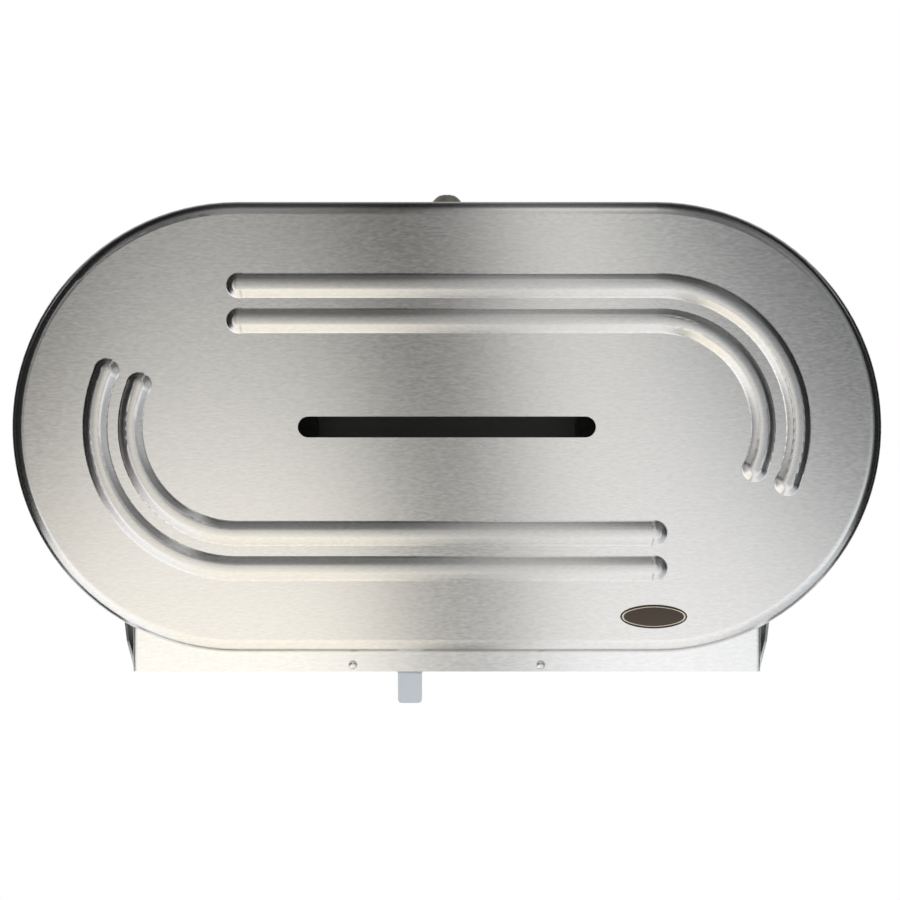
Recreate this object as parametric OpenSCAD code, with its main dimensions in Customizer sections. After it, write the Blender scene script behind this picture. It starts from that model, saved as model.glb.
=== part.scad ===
// Twin jumbo toilet roll dispenser in stainless steel, millimetres.
// Part frame: X across, Y into the wall, Z up, with the origin on the wall
// face in the middle of the four wall screws.
// Every piece is drawn in the wall view (x across, y up, z out from the wall)
// and stood up by wall_view().

/* [Cover] */
// Width of the cover
cover_w = 527; // [517:1:540]
// Height of the cover
cover_h = 273; // [269:1:277]
// Distance of the cover's front face from the wall
cover_out = 127; // [126:0.5:130]
// Thickness of the drawn sheet
sheet_t = 1; // [0.8:0.1:1.2]
// Outer radius of the bend round the face
rim_r = 8; // [6:0.5:9]
// Length of the viewing slot
slot_w = 180; // [150:1:190]
// Height of the viewing slot
slot_h = 12.7; // [8:0.1:16]

/* [Pressed ribs] */
// Distance of the inner rib from the cover's long axis
rib_offset = 64.2; // [60:0.1:68]
// Distance between neighbouring ribs
rib_pitch = 21.3; // [19:0.1:23]
// Width of a rib at its foot
rib_w = 16; // [15:0.2:17]
// Angle by which a rib runs past the cover's long axis
rib_end = 23.3; // [10:0.1:40]

/* [Throat] */
// Half width of the apron
apron_half = 190.4; // [186:0.2:191]
// Setback of the apron behind the cover's face
apron_back = 10; // [9:0.5:11]
// How far the apron hangs below the cover
apron_drop = 11.8; // [11.5:0.1:13]
// Spacing of the two shutter screws
screw_pitch = 114; // [100:1:120]
// Rest position of the shutter's tab across the throat
shutter_rest = -22.4; // [-40:0.1:40]

/* [Spindles] */
// Outer radius of the roll hub
hub_r = 27; // [25:0.5:28]
// Radius of the steel axle
axle_r = 6; // [5.5:0.1:6.5]

/* [Wall screws] */
// Horizontal spacing of the wall screws
wall_pitch_x = 406.4; // [380:0.1:420]
// Vertical spacing of the wall screws
wall_pitch_y = 114.3; // [100:0.1:130]

/* [Hidden] */
$fn = 64;
eps = 0.01;

steel = [0.78, 0.77, 0.75];
bright_steel = [0.7, 0.7, 0.7];
white_plastic = [0.9, 0.9, 0.88];
pale_plastic = [0.74, 0.77, 0.8];
nylon = [0.93, 0.92, 0.88];

// Cover
end_r = cover_h / 2;
spindle_x = cover_w / 2 - end_r;
face_in = cover_out - sheet_t;
rear_gap = 1.5;
throat_half = apron_half + 10;
throat_top = -(end_r - 28);

// A pressed rib has a flat crown, and on each side a shoulder arc, a straight flank
// and a foot fillet. rib_lean is the flank's outward normal, and the fillets start
// just under the face.
rib_half = rib_w / 2;
rib_fillet = 2;
rib_shoulder = 3;
rib_flank = 3;
rib_dip = 0.05;
rib_lean = [0.6, 0.8];
rib_end_half = rib_half + 0.3;
rib_start = spindle_x - 1.4;

// Back plate
plate_t = 1.2;
plate_gap = 6;
plate_r = end_r - sheet_t - plate_gap;
plate_flange = 9.2;
plate_bend = 3;
wall_hole_r = 3.5;
ear_notch = 22;

// Rivets
rivet_r = 1.6;
rivet_dome = 3;
rivet_rise = 1.3;
rivet_pitch = 14;

// Apron bracket
apron_t = 1.2;
apron_front = cover_out - apron_back;
apron_inner = apron_front - apron_t;
apron_bottom = -(end_r + apron_drop);
apron_top = throat_top + 0.5;
rim_gap = 1.2;
apron_bend = 2.5;
apron_foot = 15;

// Hinge
pivot_out = 14;
pivot_y = -(end_r + 2.5);
pin_r = 3;
pin_head_r = 5.5;
pin_head_h = 2.2;
arm_end_r = 9;
arm_top = -118;
arm_hole_gap = 0.08;
ear_t = 1.5;
ear_gap = 5.1;
ear_x = apron_half + ear_gap;
ear_front = cover_out - 39;
ear_head = cover_out - 13;
ear_top = -109;
ear_low = -(end_r + 15.5);
ear_low_out = 41;
ear_nose = -131.5;
ear_foot_top = -80;
ear_foot_w = 26;
ear_foot_h = 27;
ear_rivet_x = ear_x - 14;
stop_w = 8.5;
stop_h = 6.5;
stop_out = 3.8;

// Throat floor
floor_t = 1.2;
floor_y = -(end_r + 2.5);
floor_back = 17;
floor_front = apron_inner - 3.2;
exit_in = 6;
exit_out = 92;
exit_back = 20.5;
exit_front = floor_front - 3.6;
floor_side_h = 11;
floor_lip_half = exit_out + 20;
floor_lip_h = 3;
nut_room_r = 4.2;

// Tear bars
bar_t = 0.8;
bar_y = floor_y - floor_t;
bar_drop = 6.6;
tooth = 3.2;
tooth_h = 1.8;
bar_start = exit_back + 1;
tooth_count = floor((exit_front - bar_start - 1) / tooth);
bar_flange_w = 7;

// Shutter
panel_t = 2;
panel_y = floor_y + 0.2;
panel_half = 45;
flange_t = 2.4;
flange_out = apron_inner - 0.2;
flange_half = 111;
flange_bottom = apron_bottom + 0.2;
tab_w = 14.6;
tab_end = -(end_r + 31);
tab_corner = 2.4;
tab_root = 1.6;
shutter_slot_w = 106;
screw_y = apron_bottom + 4;
screw_r = 1.5;
screw_head_r = 2.6;
screw_head_h = 1.7;
screw_dome = 3.2;
shutter_play = 0.15;

// Lock
lock_out = 70;
lock_head_r = 9;
lock_head_h = 8.5;
lock_thread_r = 8;
lock_dome = 10.5;
lock_bottom = end_r - 24;
lock_nut_r = 12.4;
lock_nut_t = 5;
tang = 5;
plug_r = 4.5;
plug_gap = 0.06;
cam_t = 2;
cam_half = 7;
cam_reach = 32;
cam_corner = 4;
cam_y = lock_bottom - 0.3 - cam_t;

// Lock strike
strike_x = 16;
strike_w = 20;
strike_t = 2;
strike_lip = lock_out + cam_half + 2;
strike_y = cam_y - 1.5;
strike_foot = 26;

// Spindles
axle_gap = 0.08;
axle_flange_r = 17;
axle_flange_t = 3;
axle_end = cover_out - 12;
hub_back = plate_t + axle_flange_t + 1;
hub_flange_r = 45;
hub_flange_t = 2.5;
hub_seat = 19.5;
hub_front = 109.8;
hub_wall = 2.5;
hub_boss_r = 9;
hub_web_t = 2;
hub_web_back = 6;
hub_nose = 2.5;
hub_sleeve_end = hub_front - 2;
clip_out = hub_front + 0.6;
clip_t = 1;
clip_r = 9;
drag_t = 0.9;
groove_r = axle_r - 1;
rivet_ring = 12.6;

// Turns the wall view into the part frame.
module wall_view() {
  rotate([90, 0, 0]) children();
}

// Extrudes a side-on outline, drawn with x up and y out from the wall, from x0 across.
module across(x0, width) {
  translate([x0, 0, 0]) rotate([90, 0, 90]) linear_extrude(width) children();
}

// Extrudes a plan outline, drawn with x across and y out from the wall, from y0 up.
module upward(y0, height) {
  translate([0, y0, 0]) rotate([-90, 0, 0]) linear_extrude(height) mirror([0, 1]) children();
}

// A round slot outline, centred, with its ends' radius r.
module slot_outline(length, r) {
  square([length - 2 * r, 2 * r], center = true);
  for (s = [-1, 1]) translate([s * (length / 2 - r), 0]) circle(r);
}

// Half the section of a pan: a face at top, a bend, and a wall down to bottom.
module pan_section(r, bend, bottom, top) {
  translate([0, bottom]) square([r, top - bottom - bend]);
  translate([0, bottom]) square([r - bend, top - bottom]);
  translate([r - bend, top - bend]) circle(bend);
}

// A solid block of the cover's outline with its front edge rounded.
module pan(r, bend, bottom, top) {
  for (s = [0, 1]) mirror([s, 0, 0]) translate([spindle_x, 0, 0]) rotate([0, 0, -90])
    rotate_extrude(angle = 180) pan_section(r, bend, bottom, top);
  across(-spindle_x, 2 * spindle_x) {
    pan_section(r, bend, bottom, top);
    mirror([1, 0]) pan_section(r, bend, bottom, top);
  }
}

// The section of a rib above the face. inset draws its inner side, that far down.
module rib_section(half, inset) {
  fillet = rib_fillet + inset;
  shoulder = rib_shoulder - inset;
  fillet_y = rib_fillet - rib_dip;
  shoulder_x = half - (rib_fillet + rib_shoulder) * rib_lean[0] - rib_flank;
  shoulder_y = fillet_y - (rib_fillet + rib_shoulder) * rib_lean[1] + rib_flank * 0.75;
  low = -rib_dip - inset;
  flank_low = [half - fillet * rib_lean[0], fillet_y - fillet * rib_lean[1]];
  flank_high = [shoulder_x + shoulder * rib_lean[0], shoulder_y + shoulder * rib_lean[1]];
  difference() {
    polygon([[-half, low - 0.5], [half, low - 0.5], [half, low], flank_low, flank_high,
             [-flank_high[0], flank_high[1]], [-flank_low[0], flank_low[1]], [-half, low]]);
    for (s = [-1, 1]) intersection() {
      translate([s * half, fillet_y]) circle(fillet);
      translate([-20, flank_low[1] - 40]) square(40);
    }
  }
  translate([-shoulder_x, flank_high[1]]) square([2 * shoulder_x, shoulder_y + shoulder - flank_high[1]]);
  intersection() {
    for (s = [-1, 1]) translate([s * shoulder_x, shoulder_y]) circle(shoulder);
    translate([-10, flank_high[1]]) square([20, 10]);
  }
}

// The round end of a rib.
module rib_tip(inset) {
  rotate_extrude() intersection() {
    rib_section(rib_end_half, inset);
    translate([0, -10]) square([20, 20]);
  }
}

// One rib: along the top from the left end centre, then round the right end.
module rib(radius, inset) {
  across(-rib_start, rib_start + spindle_x) translate([radius, 0]) rib_section(rib_half, inset);
  translate([spindle_x, 0, 0]) {
    rotate_extrude(angle = 90 + rib_end, start = -rib_end)
      translate([radius, 0]) rib_section(rib_half, inset);
    translate([radius * cos(rib_end), -radius * sin(rib_end), 0]) rib_tip(inset);
  }
  translate([-rib_start, radius, 0]) rib_tip(inset);
}

// Both pairs of ribs, the second pair turned half round from the first.
module ribs(inset) {
  for (turn = [0, 180], k = [0, 1])
    translate([0, 0, cover_out]) rotate([0, 0, turn]) rib(rib_offset + k * rib_pitch, inset);
}

module cover_shell() {
  color(steel) wall_view() difference() {
    union() {
      pan(end_r, rim_r, rear_gap, cover_out);
      ribs(0);
    }
    pan(end_r - sheet_t, rim_r - sheet_t, rear_gap - 1, face_in);
    ribs(sheet_t);
    translate([0, 0, face_in - 2]) linear_extrude(6) slot_outline(slot_w, slot_h / 2);
    translate([-throat_half, -end_r - 1, -1])
      cube([2 * throat_half, throat_top + end_r + 1, apron_front + rim_gap + 1]);
    translate([0, end_r + 2, lock_out]) rotate([90, 0, 0]) cylinder(r = lock_thread_r + 0.1, h = 6);
  }
}

module back_plate() {
  color(steel) wall_view() difference() {
    mirror([0, 0, 1]) pan(plate_r, plate_bend, -plate_flange, 0);
    mirror([0, 0, 1])
      pan(plate_r - plate_t, plate_bend - plate_t, -plate_flange - 1, -plate_t);
    for (s = [-1, 1]) translate([s * ear_x - ear_notch / 2, -end_r, plate_t])
      cube([ear_notch, end_r + ear_top + 12, plate_flange]);
    for (sx = [-1, 1], sy = [-1, 1])
      translate([sx * wall_pitch_x / 2, sy * wall_pitch_y / 2, -1]) cylinder(r = wall_hole_r, h = 4);
    for (s = [-1, 1]) rivet_ring_places(s) translate([0, 0, -1]) cylinder(r = rivet_r, h = 4);
    rivet_places_ears() translate([0, 0, -1]) cylinder(r = rivet_r, h = 4);
    rivet_places_strike() translate([0, 0, -1]) cylinder(r = rivet_r, h = 4);
  }
}

module rivet_ring_places(side) {
  for (k = [0:2]) translate([side * spindle_x, 0, 0]) rotate([0, 0, 90 + 120 * k])
    translate([rivet_ring, 0, 0]) children();
}

module rivet_places_ears() {
  for (s = [-1, 1], k = [0, 1])
    translate([s * ear_rivet_x, ear_foot_top - 6 - k * rivet_pitch, 0]) children();
}

module rivet_places_strike() {
  for (x = [strike_x + 5, strike_x + strike_w - 5])
    translate([x, strike_y - rivet_pitch, 0]) children();
}

// A rivet flush at the wall face, with a domed head on a stack that ends at grip.
module rivet(grip) {
  rotate_extrude() {
    square([rivet_r, grip]);
    intersection() {
      translate([0, grip + rivet_rise - rivet_dome]) circle(rivet_dome);
      translate([0, grip]) square(rivet_dome);
    }
  }
}

module ear_rivets() {
  color(bright_steel) wall_view() rivet_places_ears() rivet(plate_t + ear_t);
}

module strike_rivets() {
  color(bright_steel) wall_view() rivet_places_strike() rivet(plate_t + strike_t);
}

module axle_rivets(side) {
  color(bright_steel) wall_view() rivet_ring_places(side) rivet(plate_t + axle_flange_t);
}

// The right ear: a side blade, a foot riveted to the plate, and a stop tab.
module hinge_ear() {
  color(steel) wall_view() difference() {
    union() {
      across(ear_x, ear_t) polygon([
        [ear_foot_top, plate_t], [ear_low, plate_t], [ear_low, ear_low_out],
        [ear_nose, ear_front], [ear_top, ear_head], [ear_top, 16], [ear_foot_top, 8]
      ]);
      translate([ear_x - ear_foot_w, ear_foot_top - ear_foot_h, plate_t])
        cube([ear_foot_w + eps, ear_foot_h, ear_t]);
      translate([ear_x - stop_w, ear_low, stop_out]) cube([stop_w + eps, stop_h, ear_t]);
    }
    translate([ear_x - 1, pivot_y, pivot_out]) rotate([0, 90, 0]) cylinder(r = pin_r, h = 5);
    rivet_places_ears() translate([0, 0, -1]) cylinder(r = rivet_r, h = 6);
  }
}

// The right hinge pin: a shoulder rivet through the ear and the apron's arm.
module hinge_pin() {
  inner_head = apron_half - apron_t - 0.2 - pin_head_h;
  outer_face = ear_x + ear_t;
  edge = 0.8;
  color(bright_steel) wall_view() translate([0, pivot_y, pivot_out]) rotate([0, 90, 0])
    rotate_extrude() {
      translate([0, inner_head]) square([pin_r, outer_face + pin_head_h - inner_head]);
      translate([0, inner_head]) square([pin_head_r, pin_head_h]);
      translate([0, outer_face]) square([pin_head_r - edge, pin_head_h]);
      translate([0, outer_face]) square([pin_head_r, pin_head_h - edge]);
      translate([pin_head_r - edge, outer_face + pin_head_h - edge]) circle(edge);
    }
}

module hinge_washer() {
  color(nylon) wall_view() translate([apron_half + 0.15, pivot_y, pivot_out]) rotate([0, 90, 0])
    difference() {
      cylinder(r = 7, h = ear_gap - 0.15);
      translate([0, 0, -1]) cylinder(r = pin_r, h = ear_gap + 2);
    }
}

module lock_strike() {
  color(steel) wall_view() difference() {
    across(strike_x, strike_w) {
      translate([strike_y - strike_foot, plate_t]) square([strike_foot, strike_t]);
      translate([strike_y - strike_t, plate_t]) square([strike_t, strike_lip + strike_t - plate_t]);
      translate([strike_y - strike_t, strike_lip]) square([strike_t + 10, strike_t]);
    }
    rivet_places_strike() translate([0, 0, -1]) cylinder(r = rivet_r, h = 6);
  }
}

// The fixed axle: a riveted base, the shaft, a clip groove and a chamfered end.
module axle(side) {
  knob = clip_out + clip_t + 0.1;
  chamfer = 1.2;
  color(bright_steel) wall_view() difference() {
    translate([side * spindle_x, 0, 0]) rotate_extrude() {
      translate([0, plate_t]) square([axle_flange_r, axle_flange_t]);
      translate([0, plate_t]) square([axle_r, clip_out - plate_t]);
      translate([0, plate_t]) square([groove_r, axle_end - plate_t]);
      polygon([[0, knob], [axle_r, knob], [axle_r, axle_end - chamfer],
               [axle_r - chamfer, axle_end], [0, axle_end]]);
    }
    rivet_ring_places(side) translate([0, 0, -1]) cylinder(r = rivet_r, h = 8);
  }
}

module axle_clip(side) {
  color(bright_steel) wall_view() translate([side * spindle_x, 0, clip_out]) linear_extrude(clip_t)
    difference() {
      circle(clip_r);
      circle(groove_r);
      translate([0, -groove_r]) square([2 * groove_r - 1, 2 * groove_r], center = true);
      translate([-clip_r, -clip_r - groove_r - 1]) square([2 * clip_r, clip_r]);
    }
}

module drag_washer(side) {
  color(bright_steel) wall_view() translate([side * spindle_x, 0, plate_t + axle_flange_t])
    linear_extrude(drag_t) difference() {
      circle(clip_r - 0.4);
      circle(axle_r + 0.2);
    }
}

// The roll hub: a flanged sleeve on four webs round a long boss, open at the front.
module core_hub(side) {
  bore = axle_r + axle_gap;
  lip = hub_flange_t / 2;
  color(white_plastic) wall_view() translate([side * spindle_x, 0, 0]) {
    rotate_extrude() {
      translate([bore, hub_back]) square([hub_boss_r - bore, hub_front - hub_back]);
      translate([bore, hub_seat - hub_flange_t]) square([hub_flange_r - bore - lip, hub_flange_t]);
      translate([hub_flange_r - lip, hub_seat - lip]) circle(lip);
      translate([hub_r - hub_wall, hub_seat - 1])
        square([hub_wall, hub_sleeve_end - hub_nose - hub_seat + 1]);
      translate([hub_r - hub_nose, hub_sleeve_end - hub_nose]) intersection() {
        circle(hub_nose);
        square(hub_nose);
      }
    }
    for (k = [0:3]) rotate([0, 0, 45 + 90 * k])
      translate([hub_boss_r - 1, -hub_web_t / 2, hub_seat - 1])
        cube([hub_r - hub_wall - hub_boss_r + 2, hub_web_t, hub_front - hub_web_back - hub_seat]);
  }
}

module lock_barrel() {
  color(bright_steel) wall_view() translate([0, 0, lock_out]) rotate([-90, 0, 0]) rotate_extrude()
    difference() {
      union() {
        intersection() {
          translate([0, end_r]) square([lock_head_r, lock_head_h]);
          translate([0, end_r + lock_head_h - lock_dome]) circle(lock_dome);
        }
        translate([0, lock_bottom]) square([lock_thread_r, end_r - lock_bottom]);
      }
      translate([0, lock_bottom - 1]) square([plug_r, lock_head_h + 30]);
    }
}

module lock_nut() {
  color(bright_steel) wall_view() translate([0, end_r - sheet_t, lock_out]) rotate([90, 0, 0])
    difference() {
      cylinder(r = lock_nut_r, h = lock_nut_t, $fn = 6);
      translate([0, 0, -1]) cylinder(r = lock_thread_r, h = lock_nut_t + 2);
    }
}

// The turning plug, with a key slot in its end and a square tang for the cam.
module lock_plug() {
  color(bright_steel) wall_view() translate([0, 0, lock_out]) rotate([-90, 0, 0]) difference() {
    union() {
      rotate_extrude() intersection() {
        translate([0, lock_bottom - 0.3]) square([plug_r - plug_gap, end_r + lock_head_h - lock_bottom]);
        union() {
          translate([0, end_r + lock_head_h - lock_dome]) circle(lock_dome - 0.3);
          translate([0, lock_bottom - 1]) square([plug_r + 1, end_r - lock_bottom + 1]);
        }
      }
      translate([-tang / 2, -tang / 2, cam_y]) cube([tang, tang, cam_t + 1]);
    }
    translate([-0.7, -3, end_r]) cube([1.4, 6, 12]);
    translate([0, 0, cam_y - 1]) cylinder(r = rivet_r, h = 9);
  }
}

// The cam points back to the wall when the key is turned to open.
module lock_cam() {
  color(steel) wall_view() translate([0, cam_y, lock_out]) rotate([-90, 0, 0]) linear_extrude(cam_t)
    difference() {
      union() {
        circle(cam_half);
        translate([-cam_half, 0]) square([2 * cam_half, cam_reach - cam_corner]);
        for (s = [-1, 1])
          translate([s * (cam_half - cam_corner), cam_reach - cam_corner]) circle(cam_corner);
        translate([cam_corner - cam_half, cam_reach - 5]) square([2 * (cam_half - cam_corner), 5]);
      }
      square(tang, center = true);
    }
}

module cam_screw() {
  color(bright_steel) wall_view() translate([0, cam_y, lock_out]) rotate([90, 0, 0]) {
    translate([0, 0, -7]) cylinder(r = rivet_r, h = 8);
    difference() {
      cylinder(r = 4, h = 2.2);
      translate([-0.5, -5, 1.2]) cube([1, 10, 2]);
    }
  }
}

// The apron bracket: front strip, two hinge arms and a flange welded behind the face.
module apron_bracket() {
  strip_h = apron_top - apron_bottom;
  color(steel) wall_view() difference() {
    union() {
      intersection() {
        upward(apron_bottom, strip_h) difference() {
          apron_plan(apron_half, apron_front, apron_bend);
          apron_plan(apron_half - apron_t, apron_inner, apron_bend - apron_t);
        }
        across(-apron_half - 1, 2 * apron_half + 2) {
          polygon([
            [apron_bottom, pivot_out], [apron_bottom, apron_front + 1],
            [apron_top, apron_front + 1], [apron_top, apron_inner - 3], [arm_top + 2, apron_inner - 12],
            [arm_top, 80], [pivot_y + arm_end_r, pivot_out]
          ]);
          translate([pivot_y, pivot_out]) circle(arm_end_r);
        }
      }
      translate([-apron_half + 6, apron_top - apron_t, apron_inner])
        cube([2 * apron_half - 12, apron_t, face_in - apron_inner]);
      translate([-apron_half + 6, apron_top - apron_t, face_in - apron_t])
        cube([2 * apron_half - 12, apron_foot, apron_t]);
    }
    translate([-apron_half - 1, pivot_y, pivot_out]) rotate([0, 90, 0])
      cylinder(r = pin_r + arm_hole_gap, h = 2 * apron_half + 2);
    screw_places() translate([0, 0, apron_inner - 1]) cylinder(r = screw_r, h = 4);
  }
}

// Plan of the apron's outside or inside: a U whose legs run back past the wall face.
module apron_plan(half, front, bend) {
  translate([-half, 0]) square([2 * half, front - bend]);
  translate([-half + bend, 0]) square([2 * half - 2 * bend, front]);
  for (s = [-1, 1]) translate([s * (half - bend), front - bend]) circle(bend);
}

module screw_places() {
  for (s = [-1, 1]) translate([s * screw_pitch / 2, screw_y, 0]) children();
}

// The floor under the rolls, with two paper exits and turned-up sides welded to the arms.
module throat_floor() {
  half = apron_half - apron_t;
  color(steel) wall_view() difference() {
    union() {
      translate([-half, floor_y - floor_t, floor_back + 4])
        cube([2 * half, floor_t, floor_front - floor_back - 4]);
      translate([-half + 5, floor_y - floor_t, floor_back]) cube([2 * half - 10, floor_t, 5]);
      for (s = [0, 1]) mirror([s, 0, 0]) translate([half - floor_t, floor_y - floor_t, floor_back + 4])
        cube([floor_t, floor_side_h, floor_front - floor_back - 4]);
      translate([-floor_lip_half, floor_y - floor_t - floor_lip_h, floor_front - floor_t])
        cube([2 * floor_lip_half, floor_lip_h + eps, floor_t]);
    }
    for (s = [0, 1]) mirror([s, 0, 0]) translate([exit_in, floor_y - floor_t - 1, exit_back])
      cube([exit_out - exit_in, 3, exit_front - exit_back]);
    screw_places() translate([0, 0, floor_front - 3]) cylinder(r = nut_room_r, h = 5);
  }
}

// Outline of a saw-toothed blade, drawn with x out from the wall and y up.
module blade_outline() {
  polygon(concat(
    [[bar_start + tooth_count * tooth, 0], [bar_start, 0]],
    [for (k = [0:tooth_count - 1], half = [0, 1])
      [bar_start + (k + half / 2) * tooth, half == 0 ? tooth_h - bar_drop : -bar_drop]],
    [[bar_start + tooth_count * tooth, tooth_h - bar_drop]]
  ));
}

// A blade that hangs from the floor at x0, beside an exit.
module tear_blade(x0) {
  translate([x0, bar_y, 0]) rotate([0, -90, 0]) linear_extrude(bar_t) blade_outline();
}

// The flange that carries a blade, welded under the floor from x0 across.
module bar_flange(x0, width) {
  translate([x0, bar_y - bar_t, bar_start]) cube([width, bar_t, tooth_count * tooth]);
}

// An outer tear bar.
module tear_bar() {
  color(bright_steel) wall_view() {
    tear_blade(exit_out + bar_t);
    bar_flange(exit_out, bar_flange_w);
  }
}

// The middle tear bar: one channel with a toothed blade on each side.
module centre_tear_bar() {
  color(bright_steel) wall_view() {
    for (x = [bar_t - exit_in, exit_in]) tear_blade(x);
    bar_flange(-exit_in, 2 * exit_in);
  }
}

// The sliding shutter: a panel over one exit, a slotted flange behind the apron, and its tab.
module shutter_panel() {
  flange_back = flange_out - flange_t;
  top = panel_y + panel_t;
  color(pale_plastic) wall_view() translate([shutter_rest, 0, 0]) {
    translate([-panel_half, panel_y, bar_start]) cube([2 * panel_half, panel_t, flange_out - bar_start]);
    translate([0, 0, flange_back]) linear_extrude(flange_t) difference() {
      union() {
        translate([-flange_half, flange_bottom]) square([2 * flange_half, top - flange_bottom]);
        tab_outline();
      }
      for (s = [-1, 1])
        translate([s * screw_pitch / 2, screw_y]) slot_outline(shutter_slot_w, screw_r + shutter_play);
    }
  }
}

// The finger tab, filleted into the flange and rounded at its end.
module tab_outline() {
  half = tab_w / 2;
  translate([-half, tab_end + tab_corner]) square([tab_w, flange_bottom - tab_end]);
  translate([tab_corner - half, tab_end]) square([tab_w - 2 * tab_corner, 5]);
  for (s = [-1, 1]) translate([s * (half - tab_corner), tab_end + tab_corner]) circle(tab_corner);
  difference() {
    translate([-half - tab_root, flange_bottom - tab_root]) square([tab_w + 2 * tab_root, 2 * tab_root]);
    for (s = [-1, 1]) translate([s * (half + tab_root), flange_bottom - tab_root]) circle(tab_root);
  }
}

// Pan-head screws with a plain cross recess.
module shutter_screws() {
  color(bright_steel) wall_view() screw_places() difference() {
    union() {
      translate([0, 0, floor_front - 2.6]) cylinder(r = screw_r, h = apron_front - floor_front + 2.6);
      rotate_extrude() intersection() {
        translate([0, apron_front]) square([screw_head_r, screw_head_h]);
        translate([0, apron_front + screw_head_h - screw_dome]) circle(screw_dome);
      }
    }
    for (turn = [0, 90]) rotate([0, 0, turn])
      translate([-1.4, -0.3, apron_front + screw_head_h - 0.9]) cube([2.8, 0.6, 2]);
  }
}

module shutter_washers() {
  color(bright_steel) wall_view() screw_places() translate([0, 0, floor_front + 0.1]) linear_extrude(0.4)
    difference() {
      circle(3.4);
      circle(screw_r);
    }
}

module shutter_nuts() {
  color(bright_steel) wall_view() screw_places() translate([0, 0, floor_front - 2.2]) difference() {
    cylinder(r = 3.1, h = 2.3, $fn = 6);
    translate([0, 0, -1]) cylinder(r = screw_r, h = 5);
  }
}

back_plate();
mirror([1, 0, 0]) hinge_ear();  // left_hinge_ear
hinge_ear();  // right_hinge_ear
ear_rivets();
mirror([1, 0, 0]) hinge_pin();  // left_hinge_pin
hinge_pin();  // right_hinge_pin
mirror([1, 0, 0]) hinge_washer();  // left_hinge_washer
hinge_washer();  // right_hinge_washer
lock_strike();
strike_rivets();
axle(-1);  // left_axle
axle(1);  // right_axle
axle_rivets(-1);  // left_axle_rivets
axle_rivets(1);  // right_axle_rivets
axle_clip(-1);  // left_axle_clip
axle_clip(1);  // right_axle_clip
drag_washer(-1);  // left_drag_washer
drag_washer(1);  // right_drag_washer
cover_shell();
apron_bracket();
throat_floor();
mirror([1, 0, 0]) tear_bar();  // left_tear_bar
centre_tear_bar();
tear_bar();  // right_tear_bar
shutter_screws();
shutter_washers();
shutter_nuts();
lock_barrel();
lock_nut();
shutter_panel();
lock_plug();
lock_cam();
cam_screw();
core_hub(-1);  // left_core_hub
core_hub(1);  // right_core_hub
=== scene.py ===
"""A twin jumbo toilet roll dispenser in brushed stainless steel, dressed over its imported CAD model."""

import math

import bmesh
import bpy
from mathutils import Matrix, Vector


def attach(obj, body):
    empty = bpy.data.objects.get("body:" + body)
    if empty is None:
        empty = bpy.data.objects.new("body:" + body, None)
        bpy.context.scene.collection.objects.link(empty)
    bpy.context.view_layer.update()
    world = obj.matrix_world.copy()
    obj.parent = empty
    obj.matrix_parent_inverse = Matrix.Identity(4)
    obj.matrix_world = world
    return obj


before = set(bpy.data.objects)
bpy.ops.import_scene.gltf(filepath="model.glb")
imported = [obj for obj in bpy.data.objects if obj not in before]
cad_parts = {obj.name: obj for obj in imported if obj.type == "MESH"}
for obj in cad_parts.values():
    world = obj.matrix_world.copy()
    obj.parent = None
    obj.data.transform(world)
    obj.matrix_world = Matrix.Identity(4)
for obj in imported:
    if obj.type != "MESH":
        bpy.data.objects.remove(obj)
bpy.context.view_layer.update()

MM = 0.001
AXLE_X = 127 * MM
FACE_Y = -127 * MM

# ---------------------------------------------------------------- camera
SENSOR = 36.0
VIEW_DISTANCE = 2.0
VIEW_WIDTH = 543.4 * MM
VIEW_CENTRE = Vector((1.9 * MM, FACE_Y, -13.9 * MM))
VIEW_REACH = 50.0


def make_camera():
    """Looks straight and level at the cover's face, with VIEW_WIDTH of it across the view."""
    bpy.context.scene.view_settings.view_transform = "Standard"
    data = bpy.data.cameras.new("camera")
    data.sensor_width = SENSOR
    data.lens = SENSOR * VIEW_DISTANCE / VIEW_WIDTH
    data.clip_end = VIEW_REACH
    camera = bpy.data.objects.new("camera", data)
    camera.location = VIEW_CENTRE - Vector((0, VIEW_DISTANCE, 0))
    camera.rotation_euler = (math.radians(90), 0, 0)
    bpy.context.scene.collection.objects.link(camera)
    bpy.context.scene.camera = camera


# ---------------------------------------------------------------- shader maths
class Field:
    """A value that varies over a surface. Python's operators add its Math nodes."""

    def __init__(self, shading, socket):
        self.shading = shading
        self.socket = socket

    def math(self, operation, *others):
        return self.shading.node("ShaderNodeMath", {"operation": operation}, [self, *others])

    def __add__(self, other):
        return self.math("ADD", other)

    def __radd__(self, other):
        return self.math("ADD", other)

    def __sub__(self, other):
        return self.math("SUBTRACT", other)

    def __rsub__(self, other):
        return (self * -1) + other

    def __mul__(self, other):
        return self.math("MULTIPLY", other)

    def __rmul__(self, other):
        return self.math("MULTIPLY", other)

    def __truediv__(self, other):
        return self.math("DIVIDE", other)

    def __pow__(self, other):
        return self.math("POWER", other)

    def absolute(self):
        return self.math("ABSOLUTE")

    def at_least(self, other):
        return self.math("MAXIMUM", other)

    def at_most(self, other):
        return self.math("MINIMUM", other)

    def step(self, low, high, start=0, end=1):
        """start below low, end above high, and a smooth change between them."""
        settings = {"interpolation_type": "SMOOTHSTEP"}
        inputs = {"Value": self, "From Min": low, "From Max": high, "To Min": start, "To Max": end}
        return self.shading.node("ShaderNodeMapRange", settings, inputs)

    def bell(self, centre, width):
        """1 at centre, falling off smoothly to both sides over about width."""
        away = (self - centre) / width
        return (away * away * -1).math("EXPONENT")

    def around(self, middle, swing):
        """A noise from 0 to 1 made to vary by swing in all, half to each side of middle."""
        return (self - 0.5) * swing + middle


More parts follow.
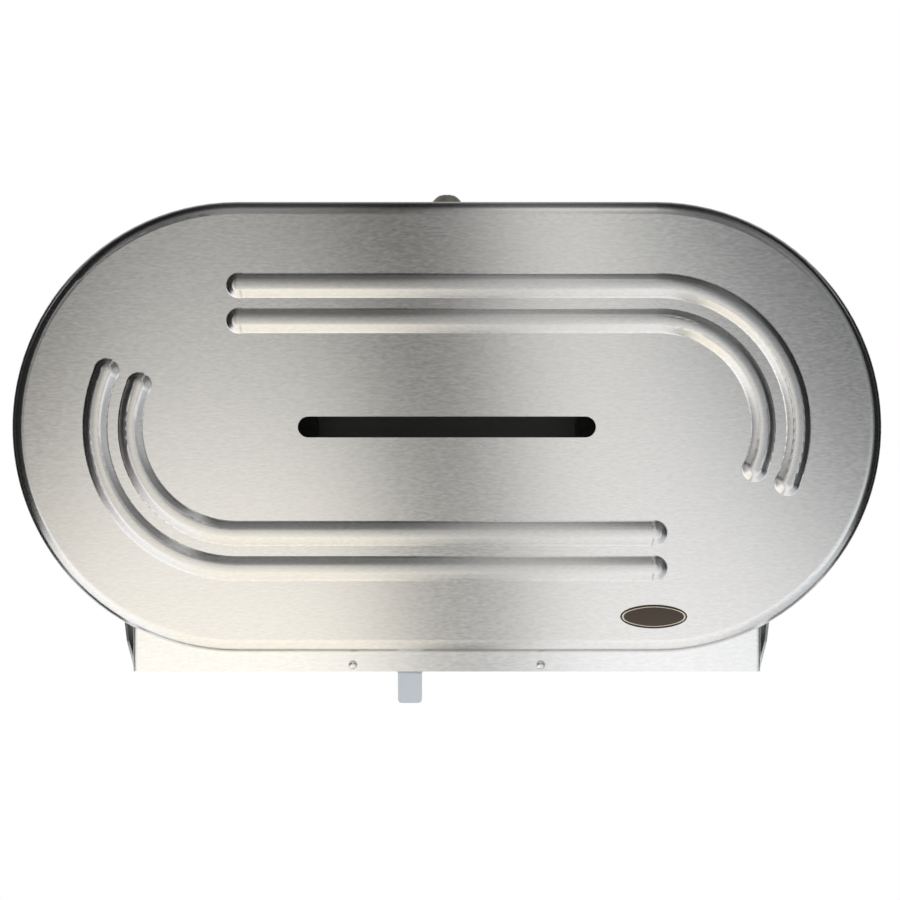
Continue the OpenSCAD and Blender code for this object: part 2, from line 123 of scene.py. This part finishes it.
class Shading:
    """A node tree being written, emptied first."""

    def __init__(self, tree):
        self.tree = tree
        self.tree.nodes.clear()

    def node(self, kind, settings=None, inputs=None, output=0):
        """Adds a node: its settings first, then its sockets' values or links. Returns one output."""
        added = self.tree.nodes.new(kind)
        for name, value in (settings or {}).items():
            setattr(added, name, value)
        pairs = enumerate(inputs) if isinstance(inputs, list) else (inputs or {}).items()
        for key, value in pairs:
            self.feed(added.inputs[key], value)
        return Field(self, added.outputs[output]) if len(added.outputs) else None

    def feed(self, socket, value):
        """Gives a socket a link, a colour of three parts, or a plain value."""
        if isinstance(value, Field):
            self.tree.links.new(value.socket, socket)
        elif isinstance(value, tuple) and len(value) == 3 and socket.type == "RGBA":
            socket.default_value = (*value, 1)
        else:
            socket.default_value = value

    def number(self, value):
        """A plain number as a Field, for a formula that takes one."""
        added = self.tree.nodes.new("ShaderNodeValue")
        added.outputs[0].default_value = value
        return Field(self, added.outputs[0])


class Finish(Shading):
    """One material being written. principled() or surface() ends it."""

    def __init__(self, name):
        self.material = bpy.data.materials.new(name)
        self.material.use_nodes = True
        super().__init__(self.material.node_tree)

    def place(self):
        """The piece's own coordinates in metres, as one vector and as x, y and z."""
        where = self.node("ShaderNodeTexCoord", output="Object")
        return where, [self.node("ShaderNodeSeparateXYZ", inputs=[where], output=k) for k in range(3)]

    def vector(self, x, y, z):
        return self.node("ShaderNodeCombineXYZ", inputs=[x, y, z])

    def noise(self, where, scale=1.0, detail=2.0, roughness=0.5):
        inputs = {"Vector": where, "Scale": scale, "Detail": detail, "Roughness": roughness}
        return self.node("ShaderNodeTexNoise", inputs=inputs)

    def mix(self, factor, low, high):
        """A colour between low and high."""
        factor_at, low_at, high_at, colour_at = 0, 6, 7, 2
        added = self.tree.nodes.new("ShaderNodeMix")
        added.data_type = "RGBA"
        for key, value in ((factor_at, factor), (low_at, low), (high_at, high)):
            self.feed(added.inputs[key], value)
        return Field(self, added.outputs[colour_at])

    def bump(self, height, distance):
        return self.node("ShaderNodeBump", inputs={"Height": height, "Distance": distance})

    def principled(self, **inputs):
        named = {key.replace("_", " ").title(): value for key, value in inputs.items()}
        if "Ior" in named:
            named["IOR"] = named.pop("Ior")
        return self.surface(self.node("ShaderNodeBsdfPrincipled", inputs=named))

    def surface(self, shader):
        self.node("ShaderNodeOutputMaterial", inputs={"Surface": shader})
        return self.material


def shade(tint, share):
    """A tint made darker or lighter."""
    return tuple(min(1.0, share * part) for part in tint)


# ---------------------------------------------------------------- finishes
def brushed_steel(name, tint, roughness, grain=1.0, smear=0.75, inside=None, inside_painted_shade=1.0, relief=None):
    """Stainless sheet brushed along X.

    grain is the brushing's strength and smear is how far it draws out reflections. inside() masks a
    dull, unbrushed side, darkened there as painted shade, and relief() gives a height and a mask of where
    it is.
    """
    grit_share, broad_share, cloud_share = 1.05, 0.12, 0.06
    contrast, scratch = 0.12, 0.002 * MM
    rough_swing, least_rough, dull_rough, pressed_rough = 0.06, 0.08, 0.5, 0.07
    wall_turn, face_turn = 0.55, 0.8
    steel = Finish(name)
    where, (x, y, z) = steel.place()
    normal = steel.node("ShaderNodeNewGeometry", output="Normal")
    fore_and_aft = steel.node("ShaderNodeSeparateXYZ", inputs=[normal], output=1).absolute()
    facing = fore_and_aft.step(wall_turn, face_turn)

    def brushing(along, across, detail):
        """Noise drawn out along X, with its fine direction across the sheet's own surface."""
        face = steel.noise(steel.vector(x * along, y * along, z * across), detail=detail, roughness=0.6)
        wall = steel.noise(steel.vector(x * along, y * across, z * along), detail=detail, roughness=0.6)
        return wall + (face - wall) * facing

    grit = brushing(along=270, across=1000, detail=1)
    broad = brushing(along=14, across=700, detail=2)
    cloud = steel.noise(where, scale=9, detail=3)
    middle = (grit_share + broad_share + cloud_share) / 2
    streak = (grit * grit_share + broad * broad_share + cloud * cloud_share - middle) * grain
    dark, light = shade(tint, 1 - contrast), shade(tint, 1 + contrast)
    colour = steel.mix((streak + 0.5).at_least(0).at_most(1), dark, light)
    rough = (streak * rough_swing + roughness).at_least(least_rough)
    if inside:
        mask = inside(steel, x, y, z, normal)
        # Painted shade: the masked inner side is given a darker colour.
        colour = steel.mix(mask, colour, shade(tint, inside_painted_shade))
        rough = rough + (dull_rough - rough) * mask
    height = grit * (scratch * grain)
    if relief:
        rise, pressed = relief(x, z)
        height = height + rise
        rough = rough + pressed * pressed_rough
    return steel.principled(
        base_color=colour,
        metallic=1.0,
        roughness=rough,
        anisotropic=smear,
        anisotropic_rotation=0.25,
        normal=steel.bump(height, 1.0),
    )


def rib_roundness(x, z):
    """What turns the pressed ribs' flat crowns and straight flanks into one round arch, and 1 on the ribs.

    Each rib is a straight run and a bend round one roll axle. The left pair is the right pair turned
    half round, so both fold on to one: half is 1 on the right pair's side of a slanted line through the
    middle and -1 on the other. away is the distance from the nearer rib's middle line.
    """
    straight_run, end_turn = 2 * AXLE_X - 1.4 * MM, math.radians(23.3)
    inner_radius, pitch = 64.2 * MM, 21.3 * MM
    crown, shoulder, flank = 2 * MM, 3 * MM, 3 * MM
    lean_out, lean_up = 0.6, 0.8
    arch, share, blend, pair_slope = 56.25, 0.4, 1 * MM, 3
    shoulder_run = shoulder * lean_out
    shoulder_end = crown + shoulder_run
    flank_end = shoulder_end + flank

    half = (x + z * pair_slope).math("SIGN")
    u, v = x * half - AXLE_X, z * half
    past = (u * -math.sin(end_turn) - v * math.cos(end_turn)).at_least(0) * u.math("GREATER_THAN", 0)
    at_end = past.math("GREATER_THAN", 0)
    right = u.at_least(0)
    radius = (right * right + v * v) ** 0.5
    end_radius = u * math.cos(end_turn) - v * math.sin(end_turn)
    radius = radius + (end_radius - radius) * at_end
    off = ((radius - (inner_radius + pitch / 2)).absolute() - pitch / 2).absolute()
    along = past + (u * -1 - straight_run).at_least(0)
    away = ((off * off + along * along) ** 0.5).at_most(flank_end)

    bend = (away - crown).at_least(0).at_most(shoulder_run)
    drop = (bend * bend * -1 + shoulder * shoulder) ** 0.5 * -1 + shoulder
    drop = drop + (away - shoulder_end).at_least(0) * (lean_out / lean_up)
    return (drop - away * away * arch) * share, away.step(flank_end - blend, flank_end, 1, 0)


def inside_cover(steel, x, y, z, normal):
    """1 on the cover's inner side, which the steel darkens as painted shade: its surfaces there face the
    line between the two roll axles.
    """
    middle_y, skin_y, blend = -60 * MM, -126.5 * MM, 0.2 * MM
    away = steel.vector(x - x.at_least(-AXLE_X).at_most(AXLE_X), y - middle_y, z)
    out = steel.node("ShaderNodeVectorMath", {"operation": "DOT_PRODUCT"}, [normal, away], output=1)
    return out.step(-2 * MM, 2 * MM, 1, 0) * y.step(skin_y - blend, skin_y + blend)


def inside_ears(steel, x, y, z, normal):
    """1 on the faces that the two hinge ears turn towards each other, which the steel darkens almost to
    black as painted shade.
    """
    inward = steel.node("ShaderNodeSeparateXYZ", inputs=[normal], output=0) * x * -1
    return inward.step(50 * MM, 100 * MM)


def turned_steel(name, tint, roughness):
    """Small turned and pressed parts: fine tool marks and faint handling marks."""
    steel = Finish(name)
    where, _ = steel.place()
    marks = steel.noise(where, scale=1800, detail=2)
    smudge = steel.noise(where, scale=160, detail=4)
    return steel.principled(
        base_color=steel.mix(smudge, shade(tint, 0.8), tint),
        metallic=1.0,
        roughness=(marks.around(roughness, 0.12) + smudge.around(0, 0.14)).at_least(0.05),
        normal=steel.bump(marks, 0.01 * MM),
    )


def cast_zinc(name, tint, roughness):
    """The lock's dull plated casting, a little mottled."""
    zinc = Finish(name)
    where, _ = zinc.place()
    grain = zinc.noise(where, scale=1100, detail=3)
    mottle = zinc.noise(where, scale=220, detail=4, roughness=0.7)
    return zinc.principled(
        base_color=zinc.mix(mottle.step(0.3, 0.7), shade(tint, 0.62), tint),
        metallic=0.4,
        roughness=mottle.around(roughness, 0.2),
        normal=zinc.bump(grain, 0.02 * MM),
    )


def moulded_plastic(name, tint, roughness, **extra):
    """Injection-moulded plastic: a fine spark-eroded skin with slight flow variation."""
    skin_grain = 0.35 * MM
    plastic = Finish(name)
    where, _ = plastic.place()
    skin = plastic.noise(where, scale=1 / skin_grain, detail=2)
    flow = plastic.noise(where, scale=28, detail=3)
    return plastic.principled(
        base_color=plastic.mix(flow, shade(tint, 0.93), tint),
        roughness=flow.around(roughness, 0.1),
        normal=plastic.bump(skin, 0.012 * MM),
        **extra,
    )


BADGE_HALF = (20.2 * MM, 7.15 * MM)
BADGE_CENTRE = Vector((124.9 * MM, FACE_Y, -114.5 * MM))


def badge_enamel(name):
    """Dark brown enamel with a near-black edge and a thin pale line set in from it."""
    edge_black, line_pale = (0.012, 0.009, 0.007), (0.62, 0.56, 0.46)
    deep_brown, light_brown = (0.028, 0.018, 0.012), (0.05, 0.032, 0.021)
    line_inset, tall_inset, line_width, line_rise = 0.075, 0.1, 0.022, 0.04 * MM
    end_share, edge_share = 0.6, 0.6
    enamel = Finish(name)
    where, (x, _, z) = enamel.place()
    half_long, half_short = BADGE_HALF
    across, up = (x - BADGE_CENTRE.x) / half_long, (z - BADGE_CENTRE.z) / half_short
    inward = 1 - (across * across + up * up) ** 0.5
    tall = (up.absolute() - end_share * across.absolute()).step(-0.4, 0.6)
    line_at = line_inset + tall * tall_inset
    line = inward.bell(line_at, line_width)
    edge = 1 - inward.step(line_at * edge_share, line_at)
    speckle = enamel.noise(where, scale=900, detail=3)
    colour = enamel.mix(edge, enamel.mix(speckle, deep_brown, light_brown), edge_black)
    return enamel.principled(
        base_color=enamel.mix(line, colour, line_pale),
        roughness=speckle.around(0.47, 0.1),
        normal=enamel.bump(line, line_rise),
    )


# ---------------------------------------------------------------- studio
FLOOR_Z = -620 * MM
CEILING_Z = 650 * MM
SCREEN_Y = -1030 * MM
FAR_X = 1250 * MM
WING_X = 900 * MM
WING_HEIGHT = (FLOOR_Z, 1200 * MM)
WING_BACK_Y = 30 * MM
FLAG_X = 360 * MM
FLAG_HEIGHT = (-125 * MM, 1000 * MM)
COVER_EDGE_Y = FACE_Y + 2 * MM
STEEL_REFLECTS = 0.68


def plane(name, corners, material):
    mesh = bpy.data.meshes.new(name)
    mesh.from_pydata(corners, [], [tuple(range(len(corners)))])
    mesh.materials.append(material)
    obj = bpy.data.objects.new(name, mesh)
    bpy.context.scene.collection.objects.link(obj)
    return obj


def card(name, material, x, y, z):
    """A flat card that shows in reflections and neither hides nor lights anything else.

    One of x, y and z is the place of its plane, and the other two are its spans.
    """
    spans = [span if isinstance(span, tuple) else (span, span) for span in (x, y, z)]
    first, second = [k for k in range(3) if spans[k][0] != spans[k][1]]
    corners = []
    for ends in ((0, 0), (1, 0), (1, 1), (0, 1)):
        corner = [span[0] for span in spans]
        corner[first], corner[second] = spans[first][ends[0]], spans[second][ends[1]]
        corners.append(tuple(corner))
    obj = plane(name, corners, material)
    obj.visible_camera = False
    obj.visible_diffuse = False
    obj.visible_shadow = False
    obj.visible_transmission = False
    obj.visible_volume_scatter = False


def glow(name, level, colour=(1.0, 1.0, 1.0)):
    """A card's light. level and colour are plain, or functions of the card's x, y and z."""
    paint = Finish(name)
    _, (x, y, z) = paint.place()
    strength = level(x, y, z) if callable(level) else level
    tint = colour(paint, x, y, z) if callable(colour) else colour
    return paint.surface(paint.node("ShaderNodeEmission", inputs={"Color": tint, "Strength": strength}))


# The levels are laid out on the flat face, as the steel shows them there: across and up are metres on
# it from the view's centre. step() takes the two places between which a level changes, then its values.
def across_face(x, y):
    """Where a card's point shows across the flat face, from the view's centre."""
    return (x - VIEW_CENTRE.x) / (1 + (FACE_Y - y) / VIEW_DISTANCE)


def up_face(z):
    """Where a point of the front screen shows up the flat face, from the view's centre."""
    return (z - VIEW_CENTRE.z) / (1 + (FACE_Y - SCREEN_Y) / VIEW_DISTANCE)


def middle_tone(across, up):
    """The room's brightness behind the camera: brighter low on the left, with a leaning dim column."""
    left_slope, left_level, left_least, left_most = -3.8, 0.61, 0.19, 0.92
    right_slope, right_level = -0.5, 0.64
    left = (up * left_slope + left_level).at_least(left_least).at_most(left_most)
    right = up * right_slope + right_level + up.step(-0.14, -0.04, 0.1, 0)
    level = left + (right - left) * across.step(-0.08, 0.05)
    column_at, column_width = up * -0.14 - 0.008, up * 0.06 + 0.047
    column_depth = (up * 1.15 + 0.9).at_most(0.97)
    return level * (1 - across.bell(column_at, column_width) * column_depth)


def tone(across, up):
    """The same with a dim right end, and a dim strip that the left end of the face shows."""
    right_lean, left_lean, straight_above = 0.68, -0.3, 0.15
    right_place, left_place = across + up.at_most(straight_above) * right_lean, across + up * left_lean
    right_end = right_place.step(0.17, 0.24) * across.step(0.28, 0.36, 0.95, 0.77)
    right_end = right_end * up.step(-0.13, -0.05) * up.step(0.1, 0.16, 1, 0.9)
    left_strip = left_place.step(-0.29, -0.18, 1, 0) * left_place.step(-0.5, -0.42, 0, 0.93)
    left_strip = left_strip * up.step(-0.13, -0.04) * up.step(0.08, 0.15, 1, 0.7)
    return middle_tone(across, up) * (1 - right_end) * (1 - left_strip)


def screen_level(x, y, z):
    """The tone of the room in front, which stays the same past lowest_up and highest_up."""
    lowest_up, highest_up = -0.16, 0.17
    up = up_face(z).at_least(lowest_up).at_most(highest_up)
    return tone(across_face(x, y), up) / STEEL_REFLECTS


def ceiling_level(x, y, z):
    """About as bright as the screen where they meet and brighter further in.

    It is dark over the dispenser and at both sides, and grey behind.
    """
    across, meets_screen_at = across_face(x, y), x.shading.number(0.12)
    ends = across.step(0.08, 0.2, 1, 0.16) * across.step(-0.34, -0.14, 0.28, 1)
    along = y.step(-0.85, -0.6, 0.95, 1.4) * y.step(-0.62, -0.3, 1, 0.1)
    behind = y.step(0.1, 0.45, 0, 0.42)
    return middle_tone(across, meets_screen_at) * along * ends / STEEL_REFLECTS + behind


def floor_level(x, y, z):
    """Bright under the dispenser, and dimmer out to the right."""
    across, meets_screen_at, share = across_face(x, y), x.shading.number(-0.13), 0.9
    middle = middle_tone(across, meets_screen_at) * share
    ends = across.step(-0.1, 0.1, 0.82, 0.5)
    return (middle + (ends - middle) * across.absolute().step(0.18, 0.5)) / STEEL_REFLECTS


def wing_level(x, y, z):
    """Dark beside and below the dispenser and brighter above it."""
    return z.step(0.3, 0.6, 0.04, 0.54)


def gap_level(x, y, z):
    """The dark gap under the cover's lower edge, less dark to the right."""
    return x.step(-0.2, 0.25, 0.04, 0.26)


def screen_colour(paint, x, y, z):
    """Warm low on the left and high just right of the middle, slightly cool at the right end."""
    neutral, cool_white, warm_white = (1.0, 0.993, 0.98), (0.94, 0.975, 1.0), (1.0, 0.945, 0.825)
    across, up = across_face(x, y), up_face(z)
    low_left = up.step(-0.15, -0.01, 1, 0) * across.step(-0.06, 0.03, 1, 0) * across.step(-0.4, -0.25)
    over_middle = across.bell(0.08, 0.05) * up.step(0, 0.12, 0, 0.45)
    cool = (across + up * 0.62).step(0.13, 0.22)
    return paint.mix(low_left + over_middle, paint.mix(cool, neutral, cool_white), warm_white)


def make_floor():
    """A plain pale floor."""
    half_width, near, far = 2.6, -3.2, 1.6
    floor = Finish("studio_floor")
    where, _ = floor.place()
    pale = floor.mix(floor.noise(where, scale=3, detail=2), (0.86, 0.86, 0.855), (0.9, 0.9, 0.895))
    corners = [(-half_width, near), (half_width, near), (half_width, far), (-half_width, far)]
    material = floor.principled(base_color=pale, roughness=0.8)
    plane("floor", [(x, y, FLOOR_Z) for x, y in corners], material)


def make_room_cards():
    """The room in front of, over and under the dispenser."""
    whole = (-FAR_X, FAR_X)
    card("front_screen", glow("studio_screen", screen_level, screen_colour),
         x=whole, y=SCREEN_Y, z=(FLOOR_Z, CEILING_Z))
    card("ceiling_card", glow("studio_ceiling", ceiling_level),
         x=whole, y=(SCREEN_Y, 1.0), z=CEILING_Z)
    card("floor_card", glow("studio_floor_card", floor_level, screen_colour),
         x=whole, y=(SCREEN_Y, 0.0), z=FLOOR_Z + 10 * MM)
    card("gap_card", glow("studio_gap", gap_level),
         x=(-400 * MM, 400 * MM), y=(-110 * MM, 40 * MM), z=-250 * MM)


def make_side_cards():
    """Cards at both sides: dark and dim ones for the cover's rounded rim, bright ones for the apron's."""
    apron_light = glow("studio_apron_light", 1.0)
    black = glow("studio_black", 0.01)
    dim = glow("studio_dim", 0.5)
    wing = glow("studio_wing", wing_level)
    left_front, right_front, right_end = -345 * MM, -215 * MM, -270 * MM
    card("right_end_flag", glow("studio_grey", 0.16),
         x=FLAG_X, y=(right_end, right_front), z=FLAG_HEIGHT)
    for side, flag_front in ((-1, left_front), (1, right_front)):
        card("side_flag", black,
             x=side * FLAG_X, y=(flag_front, COVER_EDGE_Y), z=FLAG_HEIGHT)
        card("apron_card", apron_light,
             x=side * 215 * MM, y=(COVER_EDGE_Y, -30 * MM), z=(-172 * MM, -150 * MM))
        card("side_wing", wing,
             x=side * WING_X, y=(COVER_EDGE_Y, WING_BACK_Y), z=WING_HEIGHT)
        card("back_flag", black,
             x=side * WING_X, y=(WING_BACK_Y, 650 * MM), z=WING_HEIGHT)
        card("side_card", dim,
             x=side * FAR_X, y=(SCREEN_Y, -150 * MM), z=(FLOOR_Z, CEILING_Z))


def area_light(name, at, size, power, tint=(1.0, 1.0, 1.0)):
    """A soft lamp turned to the part's origin."""
    data = bpy.data.lights.new(name, "AREA")
    data.shape = "RECTANGLE"
    data.size, data.size_y = size
    data.energy = power
    data.color = tint
    lamp = bpy.data.objects.new(name, data)
    lamp.location = at
    lamp.rotation_euler = (-Vector(at)).to_track_quat("-Z", "Y").to_euler()
    lamp.visible_camera = False
    lamp.visible_glossy = False
    bpy.context.scene.collection.objects.link(lamp)


def make_lights():
    area_light("key", at=(-1.5, -2.2, 1.6), size=(1.4, 1.4), power=42, tint=(1.0, 0.985, 0.96))
    area_light("fill", at=(1.7, -1.9, 0.9), size=(1.4, 1.4), power=26, tint=(0.97, 0.985, 1.0))
    area_light("back", at=(0.4, 2.2, 1.8), size=(1.6, 1.2), power=24)


def make_world():
    """White to the camera, metal and glass, and dimmer as light on the object."""
    seen_strength, light_strength = 1.0, 0.55
    world = bpy.data.worlds.new("studio_world")
    bpy.context.scene.world = world
    world.use_nodes = True
    room = Shading(world.node_tree)
    camera = room.node("ShaderNodeLightPath", output="Is Camera Ray")
    metal = room.node("ShaderNodeLightPath", output="Is Glossy Ray")
    glass = room.node("ShaderNodeLightPath", output="Is Transmission Ray")
    seen = camera.at_least(metal.at_least(glass))
    strength = seen * (seen_strength - light_strength) + light_strength
    white = room.node("ShaderNodeBackground", inputs={"Color": (1.0, 1.0, 1.0), "Strength": strength})
    room.node("ShaderNodeOutputWorld", inputs={"Surface": white})


# ---------------------------------------------------------------- pieces
def link(name, mesh, body, material):
    """Makes a mesh a piece that rides on a body."""
    mesh.materials.clear()
    mesh.materials.append(material)
    obj = bpy.data.objects.new(name, mesh)
    bpy.context.scene.collection.objects.link(obj)
    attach(obj, body)


def badge_plate(material):
    """A blank oval plate low on the right of the cover, with a rounded edge."""
    half_long, half_short = BADGE_HALF
    thick, round_edge = 0.9 * MM, 0.5 * MM
    edge_steps, around, sharpest = 5, 96, math.radians(40)
    rings = [(0.0, 0.0)]
    for k in range(edge_steps + 1):
        turn = math.radians(90) * k / edge_steps
        rings.append((round_edge * (1 - math.cos(turn)), thick - round_edge + round_edge * math.sin(turn)))
    turns = [2 * math.pi * k / around for k in range(around)]
    build = bmesh.new()
    loops = []
    for inset, height in rings:
        long, short = half_long - inset, half_short - inset
        places = [BADGE_CENTRE + Vector((long * math.cos(a), -height, short * math.sin(a))) for a in turns]
        loops.append([build.verts.new(place) for place in places])
    for lower, upper in zip(loops, loops[1:]):
        for k in range(around):
            build.faces.new((lower[k], lower[(k + 1) % around], upper[(k + 1) % around], upper[k]))
    build.faces.new(loops[-1])
    build.faces.new(list(reversed(loops[0])))
    bmesh.ops.recalc_face_normals(build, faces=build.faces)
    mesh = bpy.data.meshes.new("badge_plate")
    build.to_mesh(mesh)
    build.free()
    mesh.shade_smooth()
    mesh.set_sharp_from_angle(angle=sharpest)
    link("badge_plate", mesh, "cover", material)


# ---------------------------------------------------------------- dressing
def dress(nodes, material):
    for name in nodes:
        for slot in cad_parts[name].material_slots:
            slot.material = material


def both(*parts):
    """The names of the left and the right node of each part."""
    return [f"{side}_{part}" for part in parts for side in ("left", "right")]


def dress_sheet_steel():
    # The cover's inner side is painted shade: darkened so that the slot looks near black.
    cover_steel = brushed_steel("cover_steel", (0.8, 0.796, 0.79), roughness=0.235, smear=0.82,
                                inside=inside_cover, inside_painted_shade=0.32, relief=rib_roundness)
    apron_steel = brushed_steel("apron_steel", (0.875, 0.882, 0.895), roughness=0.24)
    # The back plate and strike are painted shade: their steel is darkened nearly to black so the view
    # through the slot stays dark.
    plate_steel = brushed_steel("plate_steel", (0.2, 0.198, 0.195), roughness=0.42, grain=0.7)
    # The ears' inner faces are painted shade, darkened almost to black.
    ear_steel = brushed_steel("ear_steel", (0.75, 0.745, 0.735), roughness=0.3,
                              inside=inside_ears, inside_painted_shade=0.03)
    bar_steel = brushed_steel("bar_steel", (0.7, 0.7, 0.7), roughness=0.3, grain=0.8)
    dress(["cover_shell"], cover_steel)
    dress(["apron_bracket", "throat_floor"], apron_steel)
    dress(["back_plate", "lock_strike"], plate_steel)
    dress(both("hinge_ear"), ear_steel)
    dress([*both("tear_bar"), "centre_tear_bar", "lock_cam"], bar_steel)


def dress_small_metal():
    fastener_steel = turned_steel("fastener_steel", (0.88, 0.88, 0.875), roughness=0.17)
    lock_metal = cast_zinc("lock_metal", (0.2, 0.187, 0.16), roughness=0.42)
    dress(both("hinge_pin", "axle", "axle_rivets", "axle_clip", "drag_washer"), fastener_steel)
    dress(["shutter_screws", "shutter_washers", "shutter_nuts"], fastener_steel)
    dress(["ear_rivets", "strike_rivets", "lock_nut", "cam_screw"], fastener_steel)
    dress(["lock_barrel", "lock_plug"], lock_metal)


def dress_plastic():
    shutter_plastic = moulded_plastic("shutter_plastic", (0.52, 0.56, 0.6), roughness=0.3,
                                      transmission_weight=0.3, ior=1.49)
    hub_plastic = moulded_plastic("hub_plastic", (0.05, 0.049, 0.047), roughness=0.45)
    washer_nylon = moulded_plastic("washer_nylon", (0.86, 0.85, 0.8), roughness=0.4)
    dress(["shutter_panel"], shutter_plastic)
    dress(both("core_hub"), hub_plastic)
    dress(both("hinge_washer"), washer_nylon)


make_camera()
make_floor()
make_room_cards()
make_side_cards()
make_lights()
make_world()
dress_sheet_steel()
dress_small_metal()
dress_plastic()
badge_plate(badge_enamel("badge_enamel"))
